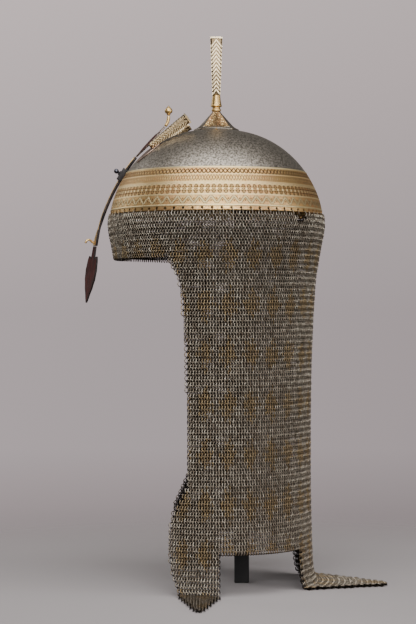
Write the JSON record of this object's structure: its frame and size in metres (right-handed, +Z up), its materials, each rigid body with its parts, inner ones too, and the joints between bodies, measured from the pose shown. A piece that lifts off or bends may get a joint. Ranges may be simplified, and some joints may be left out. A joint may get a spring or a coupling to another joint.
{
  "type": "kulah khud helmet on display post",
  "caption": "Domed steel helmet with a gold-banded rim, sliding nasal, finial tube, plume sockets and a long flapped mail curtain, held on a square display post.",
  "frame": {"origin": "centre of the display post's foot, on the surface that it stands on", "axes": "+Z up along the post, -X the way the face looks, -Y the wearer's left"},
  "size_m": [0.304, 0.3572, 0.5444],
  "materials": {
    "watered_steel": "watered steel with a gold-inlaid band",
    "gilt": "worn gilding over steel",
    "silver_gilt": "chevrons in pale gilding over steel",
    "russet_steel": "russet brown steel with a gilt edge",
    "dark_steel": "dark polished steel",
    "mail": "steel rings with patches of brass rings",
    "black_post": "satin black paint"
  },
  "bodies": {
    "helmet": {"bowl": "watered_steel", "finial_base": "gilt", "finial_collar": "gilt", "finial_tube": "silver_gilt", "socket_plate_left": "silver_gilt", "socket_plate_right": "silver_gilt", "socket_tube_left": "silver_gilt", "socket_tube_right": "silver_gilt", "bracket": "dark_steel", "mail_curtain": "mail", "mail_fringe": "mail", "display_post": "black_post", "post_pad": "black_post"},
    "nasal": {"nasal_bar": "gilt", "nasal_lower_leaf": "russet_steel", "nasal_upper_leaf": "russet_steel", "nasal_stem": "gilt", "nasal_bud": "gilt", "nasal_hook": "gilt"},
    "screw": {"set_screw": "dark_steel"}
  },
  "joints": [
    {"name": "nasal_slide", "type": "hinge", "parent": "helmet", "child": "nasal", "pos_m": [0.05001, 0, 0.29916], "axis": [0, 1, 0], "range_deg": [-3, 10]},
    {"name": "screw_turn", "type": "hinge", "parent": "helmet", "child": "screw", "pos_m": [-0.11866, 0, 0.40663], "axis": [-0.8434, 0, 0.5374], "range_deg": [0, 360]}
  ]
}
